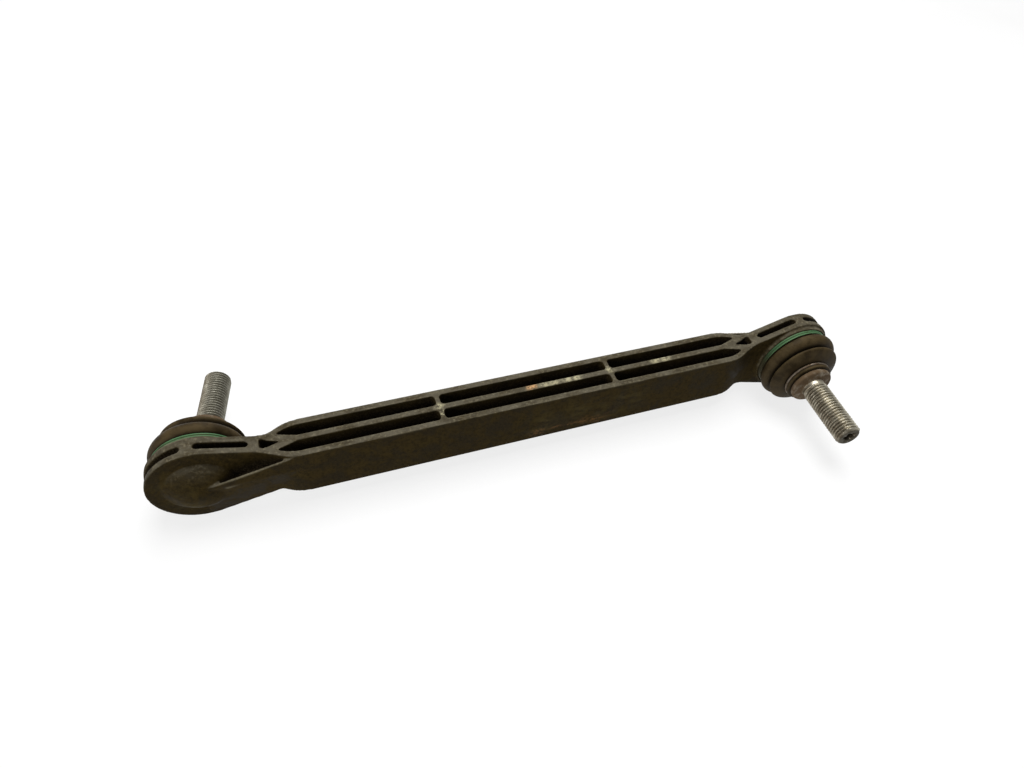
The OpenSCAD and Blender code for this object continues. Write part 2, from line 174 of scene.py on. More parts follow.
# Colours, linear
NYLON = (0.0055, 0.0038, 0.0012)
SIDE_FILM = (0.0300, 0.0202, 0.0058)
SIDE_GRAIN = (0.060, 0.044, 0.016)
# Olive dust, also painted as light on the left dome's lower side
OLIVE_DUST_AND_LIGHT = (0.052, 0.040, 0.013)
# Dust on the moulding, also painted as light on its upward faces
TOP_DUST_AND_LIGHT = (0.072, 0.0635, 0.045)
WORN_EDGE = (0.17, 0.15, 0.10)
PALE_RUB = (0.34, 0.31, 0.195)
RUST = (0.125, 0.064, 0.023)
TAN = (0.42, 0.245, 0.115)
# Painted shade for the moulding's hollows and the boots' folds, and the dusty grain in the moulding's
# painted shade
HOLLOW_SHADE = (0.009, 0.0066, 0.0036)
HOLLOW_SHADE_DUST = (0.034, 0.026, 0.015)
RUBBER = (0.0090, 0.0056, 0.0022)
# Dust on the boots, also painted as light on their upward faces
RUBBER_DUST_AND_LIGHT = (0.034, 0.0225, 0.0086)
# Painted highlight with dust along the boots' crests
RUBBER_CREST_DUST_AND_HIGHLIGHT = (0.066, 0.048, 0.024)
GREEN = (0.018, 0.062, 0.026)
# Painted highlight of the green plastic
GREEN_HIGHLIGHT = (0.085, 0.195, 0.088)
# Grime, also used as painted shade in the rings' gaps, the threads' roots and the studs' sockets
GRIME_AND_SHADE = (0.026, 0.020, 0.010)
# The right stud's steel is a painted-light copy and the left stud's a painted-shade copy of the same
# steel
LIT_AND_SHADED_STEEL = {"left": (0.30, 0.29, 0.24), "right": (0.60, 0.56, 0.45)}
LIT_AND_SHADED_DULL_STEEL = {"left": (0.23, 0.22, 0.175), "right": (0.34, 0.31, 0.235)}
COLLAR_RUST = (0.080, 0.051, 0.026)
ACETAL = (0.78, 0.75, 0.66)
GREASE = (0.42, 0.33, 0.16)
BALL_STEEL = (0.62, 0.63, 0.64)
WIRE = (0.16, 0.13, 0.10)
NO_TINT = (1.0, 1.0, 1.0)
WARM_SHEEN = (1.0, 0.84, 0.60)
FLOOR = (0.16, 0.16, 0.158)
FLOOR_PALE = (0.18, 0.18, 0.18)

# Limits that the materials share: of a whole share, of most of a noise's values and of
# what counts as an edge, with the rays that look for edges and hollows
WHOLE = (0.0, 1.0)
NOISE_SPREAD = (0.3, 0.7)
EDGE_LIMITS = (0.55, 0.92)
NEAR_SAMPLES = 8

# Roughness of the studs' steel, of the rust and grime over it, and of the floor
STUD_ROUGHNESS = {"left": (0.48, 0.62), "right": (0.36, 0.50)}
COVER_ROUGHNESS = 0.78
FLOOR_ROUGHNESS = 0.9

# How much shows, at most, of the boots' crumbs, the rings' painted highlight on top and the brown on the
# studs' side that faces -X
RUBBER_CRUMBS = 0.35
RING_TOP_HIGHLIGHT = 0.55
STUD_MINUS_X_BROWN = 0.75

# Heights between which wear sets in on the moulding and the rings' darkening towards the bottom ends, and
# how far rust and the socket's painted shade reach on the studs, in millimetres. The gain makes that
# painted shade's edge harder.
WEAR_HEIGHTS = (-12.0, 8.0)
RING_DARKENING_HEIGHTS = (1.0, 11.0)
RUST_PAST_COLLAR = 0.4
RUST_FADE = 0.8
SOCKET_SHADE_REACH = 5.0
SOCKET_SHADE_GAIN = 3.0

# Where the moulding's marks are and how far each spot reaches, in millimetres
RIB_RUBS = [
    (8.0, 0.3, ARM_TOP), (13.0, 0.3, ARM_TOP), (20.0, 0.3, ARM_TOP),
    (24.0, 0.3, ARM_TOP), (66.0, 0.6, ARM_TOP), (71.0, 0.6, ARM_TOP),
]
RIB_RUB_REACH = 4.5
CROSSING_RUBS = [(-41.5, 0.6, ARM_TOP), (-40.6, -4.0, ARM_TOP), (41.5, 1.0, ARM_TOP)]
CROSSING_RUB_REACH = 3.0
TAN_SPOT = [(1.0, -0.2, ARM_TOP), (3.0, 0.3, ARM_TOP)]
TAN_REACH = 2.6
OLIVE_DUST_AND_LIGHT_PATCHES = [
    (37.0, -ARM_HALF_WIDTH, -1.0), (44.0, -ARM_HALF_WIDTH, 0.5), (51.0, -ARM_HALF_WIDTH, 3.0),
    (5.0, -ARM_HALF_WIDTH, -2.0), (22.0, -ARM_HALF_WIDTH, 1.0),
    # These two spots paint light with olive dust on the lower left side of the left head's dome
    (-155.0, -9.0, 3.0), (-152.0, -9.0, -7.0),
]
OLIVE_REACH = 13.0
RUST_SCUFFS = [
    (4.0, -ARM_HALF_WIDTH, -9.5), (12.0, -ARM_HALF_WIDTH, -8.5), (19.0, -ARM_HALF_WIDTH, -9.0),
    (26.0, -ARM_HALF_WIDTH, -9.6), (33.0, -ARM_HALF_WIDTH, -10.2), (40.0, -ARM_HALF_WIDTH, -10.8),
]
RUST_REACH = 8.0


# Frames of the two ends


def axes_matrix(origin, axis, across):
    """Matrix that takes a shape turned about Z to the axis through origin, with its X across."""
    other = axis.cross(across)
    columns = Matrix((across, other, axis)).transposed().to_4x4()
    return Matrix.Translation(origin) @ columns


class End:
    """One end of the link: its head's frame, its stud's frame and the names of its bodies."""

    def __init__(self, side):
        self.side = side
        self.ball = Vector(JOINTS[f"{side}_swing"]["pos_m"])
        self.stud_axis = Vector(JOINTS[f"{side}_spin"]["axis"]).normalized()
        self.head_axis = Vector((0, math.copysign(1, self.stud_axis.y), 0))
        self.inboard = Vector((-math.copysign(1, self.ball.x), 0, 0))
        self.lean = math.atan2(self.stud_axis.dot(self.inboard), self.stud_axis.dot(self.head_axis))
        self.dip = math.asin(-self.stud_axis.z)
        head_centre = self.ball - self.head_axis * BALL_OFFSET * MM
        self.head_matrix = axes_matrix(head_centre, self.head_axis, self.inboard)
        stud_across = UP.cross(self.stud_axis).normalized()
        if stud_across.dot(self.inboard) < 0:
            stud_across = -stud_across
        self.stud_matrix = axes_matrix(self.ball, self.stud_axis, stud_across)

    def body(self, part):
        return f"{self.side}_{part}"


ENDS = [End("left"), End("right")]


# Mesh helpers


def piece_from(name, vertices, faces, sharp_angle=SHARP_ANGLE):
    """A smooth-shaded piece whose edges stay sharp where faces meet at more than sharp_angle."""
    mesh = bpy.data.meshes.new(name)
    mesh.from_pydata([tuple(v) for v in vertices], [], faces)
    mesh.update()
    mesh.shade_smooth()
    mesh.set_sharp_from_angle(angle=math.radians(sharp_angle))
    piece = bpy.data.objects.new(name, mesh)
    bpy.context.scene.collection.objects.link(piece)
    return piece


def ring_faces(rings, sides, closed):
    """Quads between rings of points, and back to the first ring where the section is closed."""
    faces = []
    for ring in range(rings if closed else rings - 1):
        after = (ring + 1) % rings
        for side in range(sides):
            right = (side + 1) % sides
            faces.append((
                ring * sides + side,
                ring * sides + right,
                after * sides + right,
                after * sides + side,
            ))
    return faces


def end_caps(rings, sides):
    """The two faces that close a stack of rings."""
    first = tuple(reversed(range(sides)))
    last = tuple(range((rings - 1) * sides, rings * sides))
    return [first, last]


def around(sides):
    """Angles of equal steps around a full turn."""
    return [TURN * side / sides for side in range(sides)]


def on_circle(r, angle, h):
    """Point in metres at radius r and height h, both in millimetres."""
    return Vector((r * math.cos(angle), r * math.sin(angle), h)) * MM


def rounded(corners):
    """Closed section of (r, h) points, from corners of (r, h, radius)."""
    points = []
    count = len(corners)
    for index, (r, h, radius) in enumerate(corners):
        here = Vector((r, h))
        before = Vector(corners[index - 1][:2])
        after = Vector(corners[(index + 1) % count][:2])
        start = here + (before - here).normalized() * radius
        end = here + (after - here).normalized() * radius
        for step in range(ROUND_STEPS + 1):
            share = step / ROUND_STEPS
            points.append(
                start * (1 - share) ** 2 + here * 2 * share * (1 - share) + end * share ** 2
            )
    return points


def turned(name, section, matrix):
    """Piece of revolution with a closed section of (r, h) points in millimetres."""
    vertices = []
    for r, h in section:
        for angle in around(RING_SIDES):
            vertices.append(matrix @ on_circle(r, angle, h))
    return piece_from(name, vertices, ring_faces(len(section), RING_SIDES, closed=True))


def paint(piece, material):
    piece.data.materials.clear()
    piece.data.materials.append(material)


# Materials


class Shader:
    """A material and short calls for the nodes that the materials below share."""

    def __init__(self, name, metallic=0.0, specular=0.5, sheen=NO_TINT):
        self.material = bpy.data.materials.new(name)
        self.material.use_nodes = True
        self.tree = self.material.node_tree
        self.surface = self.tree.nodes["Principled BSDF"]
        self.set("Metallic", metallic)
        self.set("Specular IOR Level", specular)
        self.set("Specular Tint", (*sheen, 1.0))
        self.place = self.node("ShaderNodeTexCoord").outputs["Object"]
        self.normal = self.node("ShaderNodeNewGeometry").outputs["Normal"]

    def node(self, kind, inputs=None, **settings):
        made = self.tree.nodes.new(kind)
        for key, value in settings.items():
            setattr(made, key, value)
        for key, value in (inputs or {}).items():
            self.put(made.inputs[key], value)
        return made

    def put(self, socket, value):
        """A link where the value is a node's output, or else the value itself."""
        if isinstance(value, bpy.types.NodeSocket):
            self.tree.links.new(value, socket)
        else:
            socket.default_value = value

    def set(self, name, value):
        """The surface's own input of that name."""
        self.put(self.surface.inputs[name], value)

    def noise(self, scale, detail, roughness, distortion=0.0, x_scale=None):
        """Noise over the piece, drawn out along X where x_scale is below 1."""
        place = self.place
        if x_scale is not None:
            factors = (x_scale, 1.0, 1.0)
            place = self.node("ShaderNodeMapping", {"Vector": place, "Scale": factors}).outputs[0]
        made = self.node("ShaderNodeTexNoise", {
            "Vector": place,
            "Scale": scale,
            "Detail": detail,
            "Roughness": roughness,
            "Distortion": distortion,
        })
        return made.outputs[0]

    def band(self, value, between, to=WHOLE):
        """Value between two limits, eased from the first to the second result."""
        made = self.node("ShaderNodeMapRange", {
            "Value": value,
            "From Min": between[0],
            "From Max": between[1],
            "To Min": to[0],
            "To Max": to[1],
        }, interpolation_type="SMOOTHSTEP")
        return made.outputs[0]

    def math(self, operation, a, b):
        """Result of the operation, kept between 0 and 1."""
        made = self.node("ShaderNodeMath", {0: a, 1: b}, operation=operation, use_clamp=True)
        return made.outputs[0]

    def times(self, first, *others):
        result = first
        for other in others:
            result = self.math("MULTIPLY", result, other)
        return result

    def most(self, a, b):
        return self.math("MAXIMUM", a, b)

    def layered(self, first, second, share):
        """A share of the first texture on the rest of the second."""
        return self.math("ADD", self.times(first, share), self.times(second, 1 - share))

    def mix(self, share, a, b):
        """Colour a, with a share of colour b over it."""
        made = self.node("ShaderNodeMix", data_type="RGBA")
        wanted = {"Factor_Float": share, "A_Color": a, "B_Color": b}
        for socket in made.inputs:
            if socket.identifier in wanted:
                value = wanted[socket.identifier]
                if isinstance(value, tuple):
                    value = (*value, 1.0)
                self.put(socket, value)
        return next(s for s in made.outputs if s.identifier == "Result_Color")

    def part(self, vector, axis):
        """The X, Y or Z of a vector, such as the surface's normal or its place in metres."""
        return self.node("ShaderNodeSeparateXYZ", {0: vector}).outputs[axis]

    def nearness(self, distance, inside):
        """How open the surface is within a distance in millimetres, outside it or inside it."""
        settings = {"samples": NEAR_SAMPLES, "inside": inside}
        made = self.node("ShaderNodeAmbientOcclusion", {"Distance": distance * MM}, **settings)
        return made.outputs["AO"]

    def openness(self, distance):
        return self.nearness(distance, inside=False)

    def edges(self, distance):
        """How near the surface is to a convex edge."""
        return self.band(self.nearness(distance, inside=True), between=EDGE_LIMITS, to=(1.0, 0.0))

    def spots(self, centres, reach):
        """Soft round patches at points given in millimetres."""
        result = None
        for centre in centres:
            distance = self.node("ShaderNodeVectorMath", {
                0: self.place,
                1: Vector(centre) * MM,
            }, operation="DISTANCE").outputs["Value"]
            patch = self.band(distance, between=(0.0, reach * MM), to=(1.0, 0.0))
            result = patch if result is None else self.most(result, patch)
        return result

    def bump(self, height, depth, strength):
        """Fine relief of a depth in millimetres."""
        made = self.node("ShaderNodeBump", {
            "Height": height,
            "Distance": depth * MM,
            "Strength": strength,
        })
        self.set("Normal", made.outputs["Normal"])


class Moulding(Shader):
    """The moulding's layers, which share the textures that are made first."""

    def __init__(self):
        super().__init__("moulding", specular=0.035, sheen=WARM_SHEEN)
        cloud = self.noise(scale=85.0, detail=10.0, roughness=0.70, distortion=0.5)
        self.film = self.band(cloud, between=(0.36, 0.64))
        self.grain = self.noise(scale=1500.0, detail=3.0, roughness=0.6)
        self.flecks = self.noise(scale=620.0, detail=6.0, roughness=0.7)
        self.streaks = self.noise(scale=260.0, detail=6.0, roughness=0.6, x_scale=0.18)
        self.patches = self.noise(scale=210.0, detail=9.0, roughness=0.72, x_scale=0.45)
        self.scratches = self.noise(scale=420.0, detail=5.0, roughness=0.6, x_scale=0.12)
        self.upward = self.band(self.part(self.normal, "Z"), between=(0.25, 0.95))

    def dusted_and_top_lit(self):
        """Nylon under a brown film, flecked dark, with pale powder and painted light on its upward faces.
        """
        colour = self.mix(self.band(self.film, between=WHOLE, to=(0.42, 1.0)), NYLON, SIDE_FILM)
        bare = self.band(self.flecks, between=(0.40, 0.52), to=(0.45, 0.0))
        colour = self.mix(bare, colour, NYLON)
        # Dust and painted light on the upward faces, in patches
        cloudy = self.band(self.patches, between=(0.36, 0.60), to=(0.34, 1.0))
        return self.mix(self.times(self.upward, cloudy), colour, TOP_DUST_AND_LIGHT)

    def worn(self, colour):
        """Colour with rubbed upper edges, fine grain and crumbs of dust on top."""
        low, full = WEAR_HEIGHTS
        high = self.band(self.part(self.place, "Z"), between=(low * MM, full * MM), to=(0.15, 1.0))
        broken = self.band(self.streaks, between=(0.40, 0.60), to=(0.05, 0.60))
        colour = self.mix(self.times(self.edges(distance=1.1), high, broken), colour, WORN_EDGE)
        colour = self.mix(self.band(self.grain, between=(0.54, 0.70), to=(0.0, 0.30)), colour, SIDE_GRAIN)
        crumbs = self.band(self.flecks, between=(0.51, 0.64), to=(0.0, 0.40))
        return self.mix(self.times(self.upward, crumbs), colour, WORN_EDGE)

    def marked(self, colour):
        """Colour with the rubs, the tan spot, the olive dust with painted light on the left dome's lower
        side, and the rust scuffs.
        """
        rubbed = self.band(self.flecks, between=(0.40, 0.56), to=(0.15, 0.9))
        crossed = self.band(self.flecks, between=(0.44, 0.60))
        tanned = self.band(self.flecks, between=(0.36, 0.54))
        cloudy = self.band(self.patches, between=(0.42, 0.62), to=(0.0, 0.7))
        scratched = self.band(self.scratches, between=(0.42, 0.66))
        broken = self.band(self.flecks, between=(0.42, 0.58), to=(0.10, 0.75))
        marks = [
            (PALE_RUB, RIB_RUBS, RIB_RUB_REACH, self.upward, rubbed),
            (PALE_RUB, CROSSING_RUBS, CROSSING_RUB_REACH, self.upward, crossed),
            (TAN, TAN_SPOT, TAN_REACH, self.upward, tanned),
            # Olive dust on the front, and painted light on the left dome
            (OLIVE_DUST_AND_LIGHT, OLIVE_DUST_AND_LIGHT_PATCHES, OLIVE_REACH, cloudy),
            (RUST, RUST_SCUFFS, RUST_REACH, scratched, broken),
        ]
        for mark_colour, places, reach, *shares in marks:
            share = self.times(self.spots(places, reach), *shares)
            colour = self.mix(share, colour, mark_colour)
        return colour


def moulding_material():
    """Black glass-filled nylon under a film of brown dust, worn pale along its ribs, with painted shade
    in its hollows.
    """
    shader = Moulding()
    colour = shader.marked(shader.worn(shader.dusted_and_top_lit()))
    # Painted shade, flecked with dusty grain, darkens the hollows where the surface is closed in
    hollow_shade = shader.mix(shader.band(shader.grain, between=(0.45, 0.65)), HOLLOW_SHADE, HOLLOW_SHADE_DUST)
    opened = shader.band(shader.openness(distance=9.0), between=(0.26, 0.80))
    shader.set("Base Color", shader.mix(opened, hollow_shade, colour))
    shader.set("Roughness", shader.band(shader.film, between=WHOLE, to=(0.52, 0.78)))
    shader.bump(shader.layered(shader.grain, shader.streaks, share=0.5), depth=0.14, strength=0.6)
    return shader.material


def rubber_material():
    """Dusty brown-black rubber, with painted shade in the folds, dust and painted light on its upward
    faces, and painted highlights with dust along the crests.
    """
    shader = Shader("boot_rubber", specular=0.08, sheen=WARM_SHEEN)
    cloud = shader.noise(scale=120.0, detail=7.0, roughness=0.62, distortion=0.3)
    grain = shader.noise(scale=1900.0, detail=3.0, roughness=0.6)
    upward = shader.band(shader.part(shader.normal, "Z"), between=(-0.3, 0.95), to=(0.25, 1.0))
    # Painted shade darkens the folds where the surface is closed in
    opened = shader.band(shader.openness(distance=5.0), between=(0.36, 0.92))
    # Dust and painted light on the upward faces, fading on the faces that look down
    dust = shader.times(upward, shader.band(cloud, between=(0.34, 0.66), to=(0.25, 1.0)))
    colour = shader.mix(dust, RUBBER, RUBBER_DUST_AND_LIGHT)
    crumbs = shader.times(shader.band(grain, between=(0.56, 0.72)), RUBBER_CRUMBS)
    colour = shader.mix(crumbs, colour, RUBBER_DUST_AND_LIGHT)
    # Painted highlight with dust along the crests and other convex edges
    broken = shader.band(cloud, between=(0.36, 0.62), to=(0.10, 0.50))
    colour = shader.mix(shader.times(shader.edges(distance=2.0), broken), colour, RUBBER_CREST_DUST_AND_HIGHLIGHT)
    shader.set("Base Color", shader.mix(opened, HOLLOW_SHADE, colour))
    shader.set("Roughness", shader.band(cloud, between=NOISE_SPREAD, to=(0.46, 0.70)))
    shader.bump(shader.layered(grain, cloud, share=0.4), depth=0.15, strength=0.5)
    return shader.material


def green_material():
    """Green plastic with painted highlights on top and along its edges, grime in patches, painted shade
    in the gaps, and darker lower down.
    """
    shader = Shader("ring_plastic", specular=0.14, sheen=WARM_SHEEN)
    cloud = shader.noise(scale=160.0, detail=6.0, roughness=0.6)
    grain = shader.noise(scale=1600.0, detail=2.0, roughness=0.5)
    opened = shader.band(shader.openness(distance=3.0), between=(0.52, 0.97))
    upward = shader.band(shader.part(shader.normal, "Z"), between=(0.2, 1.0))
    # Painted highlights on the upward faces and along the edges
    colour = shader.mix(shader.times(upward, RING_TOP_HIGHLIGHT), GREEN, GREEN_HIGHLIGHT)
    colour = shader.mix(shader.edges(distance=0.6), colour, GREEN_HIGHLIGHT)
    colour = shader.mix(shader.band(cloud, between=(0.50, 0.74), to=(0.0, 0.7)), colour, GRIME_AND_SHADE)
    # Darker towards the bottom, below the lower of these heights
    full, plain_above = RING_DARKENING_HEIGHTS
    heights = (full * MM, plain_above * MM)
    sunk = shader.band(shader.part(shader.place, "Z"), between=heights, to=(0.90, 0.0))
    colour = shader.mix(sunk, colour, GRIME_AND_SHADE)
    # Painted shade darkens the gaps where the surface is closed in
    shader.set("Base Color", shader.mix(opened, GRIME_AND_SHADE, colour))
    shader.set("Roughness", shader.band(cloud, between=NOISE_SPREAD, to=(0.34, 0.6)))
    shader.bump(grain, depth=0.05, strength=0.4)
    return shader.material


def along_stud(shader, end, start, fade, to):
    """A share that changes along the stud, from start over a fade in millimetres."""
    along = shader.node("ShaderNodeVectorMath", {
        0: shader.place,
        1: end.stud_axis,
    }, operation="DOT_PRODUCT").outputs["Value"]
    first = end.ball.dot(end.stud_axis) + start * MM
    return shader.band(along, between=(first, first + fade * MM), to=to)


def stud_material(end):
    """Plated steel, a painted-light copy on the right stud and a painted-shade copy on the left: bright
    on the thread's crests, with painted shade in the roots and the socket, rusty on the collar, with
    grime on the tip and browner on the side that faces -X.
    """
    shader = Shader(f"stud_steel_{end.side}", specular=0.18)
    blotches = shader.noise(scale=300.0, detail=6.0, roughness=0.6)
    grain = shader.noise(scale=2400.0, detail=3.0, roughness=0.6)
    opened = shader.band(shader.openness(distance=1.2), between=(0.35, 0.85))
    dulled = shader.band(blotches, between=(0.35, 0.65))
    # Steel, lighter on the right stud and darker on the left as painted light and shade
    colour = shader.mix(dulled, LIT_AND_SHADED_STEEL[end.side], LIT_AND_SHADED_DULL_STEEL[end.side])
    # Browner on the side that faces -X
    facing = shader.band(shader.part(shader.normal, "X"), between=(-0.9, 0.2), to=(1.0, 0.0))
    minus_x_brown = shader.times(facing, shader.band(blotches, between=(0.32, 0.62), to=(0.55, 1.0)))
    colour = shader.mix(shader.times(minus_x_brown, STUD_MINUS_X_BROWN), colour, COLLAR_RUST)
    # Painted shade in the thread's roots
    colour = shader.mix(shader.band(opened, between=WHOLE, to=(0.22, 1.0)), GRIME_AND_SHADE, colour)
    on_collar = along_stud(shader, end, COLLAR_FACE + RUST_PAST_COLLAR, RUST_FADE, to=(1.0, 0.0))
    rust = shader.times(on_collar, shader.band(blotches, between=(0.25, 0.55), to=(0.75, 1.0)))
    colour = shader.mix(rust, colour, COLLAR_RUST)
    on_tip = along_stud(shader, end, STUD_REACH - TIP_CHAMFER, TIP_CHAMFER, to=(0.0, 0.9))
    # Painted shade in the socket, with grime on the tip
    socket = end.ball / MM + end.stud_axis * (STUD_REACH - SOCKET_DEPTH / 2)
    in_socket = shader.times(shader.spots([socket], SOCKET_SHADE_REACH), SOCKET_SHADE_GAIN)
    tip_grime_and_socket_shade = shader.most(on_tip, in_socket)
    shader.set("Base Color", shader.mix(tip_grime_and_socket_shade, colour, GRIME_AND_SHADE))
    cover = shader.most(rust, tip_grime_and_socket_shade)
    shader.set("Metallic", shader.band(cover, between=WHOLE, to=(0.85, 0.12)))
    polish = shader.band(blotches, between=NOISE_SPREAD, to=STUD_ROUGHNESS[end.side])
    shader.set("Roughness", shader.most(polish, shader.times(cover, COVER_ROUGHNESS)))
    shader.bump(grain, depth=0.04, strength=0.5)
    return shader.material


def seat_material():
    """Pale acetal with grease smeared over it."""
    shader = Shader("seat_plastic")
    smear = shader.noise(scale=240.0, detail=5.0, roughness=0.6, distortion=0.6)
    shader.set("Base Color", shader.mix(shader.band(smear, between=(0.42, 0.66)), ACETAL, GREASE))
    shader.set("Roughness", shader.band(smear, between=(0.35, 0.7), to=(0.42, 0.16)))
    shader.bump(smear, depth=0.05, strength=0.4)
    return shader.material


def ball_material():
    """Polished bearing steel with fine turning marks and a trace of grease."""
    shader = Shader("ball_steel", metallic=1.0)
    marks = shader.noise(scale=900.0, detail=4.0, roughness=0.6)
    smear = shader.noise(scale=210.0, detail=4.0, roughness=0.6)
    greasy = shader.band(smear, between=(0.55, 0.75), to=(0.0, 0.35))
    shader.set("Base Color", shader.mix(greasy, BALL_STEEL, GREASE))
    shader.set("Roughness", shader.band(marks, between=NOISE_SPREAD, to=(0.08, 0.2)))
    shader.bump(marks, depth=0.01, strength=0.3)
    return shader.material


def wire_material():
    """Dull spring wire, dusty and lightly rusted."""
    shader = Shader("ring_wire", metallic=0.7)
    cloud = shader.noise(scale=380.0, detail=5.0, roughness=0.6)
    shader.set("Base Color", shader.mix(shader.band(cloud, between=(0.40, 0.62)), WIRE, COLLAR_RUST))
    shader.set("Roughness", shader.band(cloud, between=NOISE_SPREAD, to=(0.45, 0.7)))
    shader.bump(cloud, depth=0.06, strength=0.5)
    return shader.material


def floor_material():
    """Plain pale studio floor with the faintest mottling, which glows so that it stays white."""
    shader = Shader("floor", specular=0.2)
    cloud = shader.noise(scale=6.0, detail=3.0, roughness=0.5)
    shader.set("Base Color", shader.mix(shader.band(cloud, between=NOISE_SPREAD), FLOOR, FLOOR_PALE))
    shader.set("Roughness", FLOOR_ROUGHNESS)
    shader.set("Emission Color", WHITE)
    shader.set("Emission Strength", FLOOR_GLOW)
    return shader.material


# Moulded body and closing rings


def moulded_body():
    """The link body with the soft edges of a moulding, remade from the CAD solid."""
    mesh = frame["nodes"]["link_body"].data.copy()
    welded = bmesh.new()
    welded.from_mesh(mesh)
    bmesh.ops.remove_doubles(welded, verts=welded.verts, dist=MOULDING_WELD)
    welded.to_mesh(mesh)
    welded.free()
    piece = bpy.data.objects.new("link_moulding", mesh)
    bpy.context.scene.collection.objects.link(piece)
    remesh = piece.modifiers.new("moulded_skin", "REMESH")
    remesh.mode = "VOXEL"
    remesh.voxel_size = MOULDING_VOXEL * MM
    smooth = piece.modifiers.new("soft_edges", "SMOOTH")
    smooth.factor = MOULDING_SMOOTH_FACTOR
    smooth.iterations = MOULDING_SMOOTH_ROUNDS
    thin = piece.modifiers.new("thin_out", "DECIMATE")
    thin.ratio = MOULDING_KEEP
    view = bpy.context.evaluated_depsgraph_get()
    finished = bpy.data.meshes.new_from_object(piece.evaluated_get(view))
    piece.modifiers.clear()
    piece.data = finished
    finished.shade_smooth()
    return piece


def closing_ring(end):
    """Green ring with eased edges and a groove around it."""
    groove = (RING_WALL_TOP + RING_TOP) / 2
    section = rounded([
        (RING_INNER_R, HEAD_HALF, RING_EDGE),
        (RING_R, HEAD_HALF, RING_EDGE),
        (RING_R, groove - RING_GROOVE, RING_GROOVE / 2),
        (RING_R - RING_GROOVE, groove, RING_GROOVE / 2),
        (RING_R, groove + RING_GROOVE, RING_GROOVE / 2),
        (RING_R, RING_TOP, RING_EDGE * 2),
        (RING_BORE_R, RING_TOP, RING_EDGE),
        (RING_BORE_R, RING_TOP - RING_LIP, RING_EDGE),
        (RING_INNER_R, RING_TOP - RING_LIP, RING_EDGE),
    ])
    return turned(f"{end.side}_green_ring", section, end.head_matrix)


# Boots, with points (a, r) at a along the head's axis and r from the boot's own axis


def fold(start, finish, rise):
    """Points of a fold from start to finish that stands out by rise."""
    points = []
    for step in range(FOLD_STEPS + 1):
        turn = math.pi * step / FOLD_STEPS
        share = (1 - math.cos(turn)) / 2
        point = Vector(start) * (1 - share) + Vector(finish) * share
        points.append((point.x, point.y + rise * math.sin(turn)))
    return points


def crested_fold(start, crest, finish):
    """Points of a fold from start over a sharp crest to finish."""
    weight = 2 * CREST_SHARPNESS
    corner = (Vector(crest) * (2 + weight) - Vector(start) - Vector(finish)) / weight
    points = []
    for step in range(FOLD_STEPS + 1):
        share = step / FOLD_STEPS
        first = (1 - share) ** 2
        middle = weight * share * (1 - share)
        last = share ** 2
        point = Vector(start) * first + corner * middle + Vector(finish) * last
        points.append(tuple(point / (first + middle + last)))
    return points


def thick(outside, extra_start=(), extra_end=()):
    """Closed section of a rubber wall: outside points, then the inside back again."""
    inside = [(a, max(r - BOOT_WALL, LIP_BORE_R)) for a, r in outside]
    return [*extra_start, *outside, *extra_end, *reversed(inside)]


def lower_fold_section():
    """First fold, with the bead that the closing ring holds."""
    rise = FOLD_1_R - (BOOT_THROAT_R + WAIST_R) / 2
    outside = fold((BOOT_START, BOOT_THROAT_R), (WAIST_A, WAIST_R), rise)
    bead = [
        (BEAD_HIGH, BOOT_INNER_R),
        (BEAD_LOW, BOOT_INNER_R),
        (BEAD_LOW, RING_INNER_R - BOOT_GAP),
        (BEAD_HIGH, RING_INNER_R - BOOT_GAP),
        (BEAD_HIGH, BOOT_THROAT_R),
    ]
    return thick(outside, extra_start=bead)


def upper_fold_section():
    """Second fold, the groove for the neck ring and the lip at the stud."""
    outside = crested_fold(
        (WAIST_A, WAIST_R), (CREST_A, CREST_R), (NECK_GROOVE_START, NECK_GROOVE_R)
    )
    middle = LIP_ROUND * LIP_ROUND_MIDDLE
    lip = [
        (NECK_GROOVE_END, NECK_GROOVE_R),
        (NECK_GROOVE_END, LIP_R - LIP_ROUND),
        (NECK_GROOVE_END + middle, LIP_R - middle),
        (NECK_GROOVE_END + LIP_ROUND, LIP_R),
        (LIP_END - LIP_ROUND, LIP_R),
        (LIP_END - middle, LIP_R - middle),
        (LIP_END, LIP_R - LIP_ROUND),
        (LIP_END, LIP_BORE_R),
    ]
    return thick(outside, extra_end=lip)


def lean_share(a):
    """Share of the stud's tilt that the rubber has taken up at a, eased at both ends."""
    x = min(1.0, max(0.0, (a - BOOT_START) / (NECK_GROOVE_START - BOOT_START)))
    return x * x * (3 - 2 * x)


def boot_point(end, a, r, angle):
    """Point of the boot, turned about the ball's centre by the tilt that the rubber has there."""
    lean = end.lean * lean_share(a)
    dip = end.dip * lean_share(a)
    along = a - BALL_OFFSET
    across = r * math.cos(angle)
    up = r * math.sin(angle)
    out = along * math.cos(dip) + up * math.sin(dip)
    offset = (
        end.inboard * (across * math.cos(lean) + out * math.sin(lean))
        + end.head_axis * (out * math.cos(lean) - across * math.sin(lean))
        + UP * (up * math.cos(dip) - along * math.sin(dip))
    )
    return end.ball + offset * MM


def boot_piece(end, name, section):
    """Rubber wall with that section, swept around the boot's bent axis."""
    vertices = []
    for a, r in section:
        for angle in around(BOOT_SIDES):
            vertices.append(boot_point(end, a, r, angle))
    faces = ring_faces(len(section), BOOT_SIDES, closed=True)
    piece = piece_from(f"{end.side}_{name}", vertices, faces)
    outward = bmesh.new()
    outward.from_mesh(piece.data)
    bmesh.ops.recalc_face_normals(outward, faces=outward.faces)
    outward.to_mesh(piece.data)
    outward.free()
    return piece


# Studs, as rings (h, radius at each angle)


